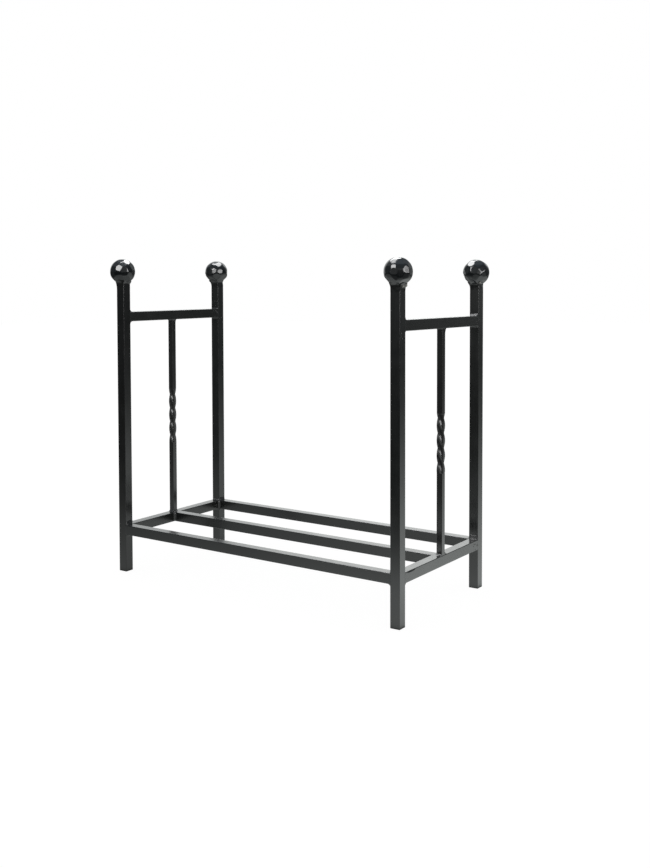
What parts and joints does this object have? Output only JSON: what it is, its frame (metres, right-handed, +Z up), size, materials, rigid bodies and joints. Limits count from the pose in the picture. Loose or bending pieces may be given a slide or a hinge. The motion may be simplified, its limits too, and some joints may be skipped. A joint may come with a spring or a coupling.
{
  "type": "log holder",
  "caption": "Free-standing hearth log holder of welded black square bar: end frames with twisted uprights and hammered ball finials, joined by long rails that carry the logs.",
  "frame": {"origin": "on the floor, in the middle of the four feet", "axes": "+X along the long rails, +Y towards the back, +Z up"},
  "size_m": [0.5812, 0.2861, 0.5293],
  "materials": {
    "bar_paint": "satin black paint on hot-rolled square bar",
    "hammered_paint": "satin black paint on a hammered ball, glossier on the flats",
    "weld_paint": "satin black paint over weld beads"
  },
  "bodies": {
    "root": {"back_rail": "bar_paint", "bar_weld_high_left": "weld_paint", "bar_weld_high_right": "weld_paint", "bar_weld_low_left": "weld_paint", "bar_weld_low_right": "weld_paint", "centre_rail": "bar_paint", "centre_weld_left": "weld_paint", "centre_weld_right": "weld_paint", "corner_weld_back_left": "weld_paint", "corner_weld_back_right": "weld_paint", "corner_weld_front_left": "weld_paint", "corner_weld_front_right": "weld_paint", "end_rail_left": "bar_paint", "end_rail_right": "bar_paint", "finial_back_left": "hammered_paint", "finial_back_right": "hammered_paint", "finial_front_left": "hammered_paint", "finial_front_right": "hammered_paint", "front_rail": "bar_paint", "neck_weld_back_left": "weld_paint", "neck_weld_back_right": "weld_paint", "neck_weld_front_left": "weld_paint", "neck_weld_front_right": "weld_paint", "post_back_left": "bar_paint", "post_back_right": "bar_paint", "post_front_left": "bar_paint", "post_front_right": "bar_paint", "top_rail_left": "bar_paint", "top_rail_right": "bar_paint", "top_weld_back_left": "weld_paint", "top_weld_back_right": "weld_paint", "top_weld_front_left": "weld_paint", "top_weld_front_right": "weld_paint", "twisted_bar_left": "bar_paint", "twisted_bar_right": "bar_paint"}
  },
  "joints": []
}
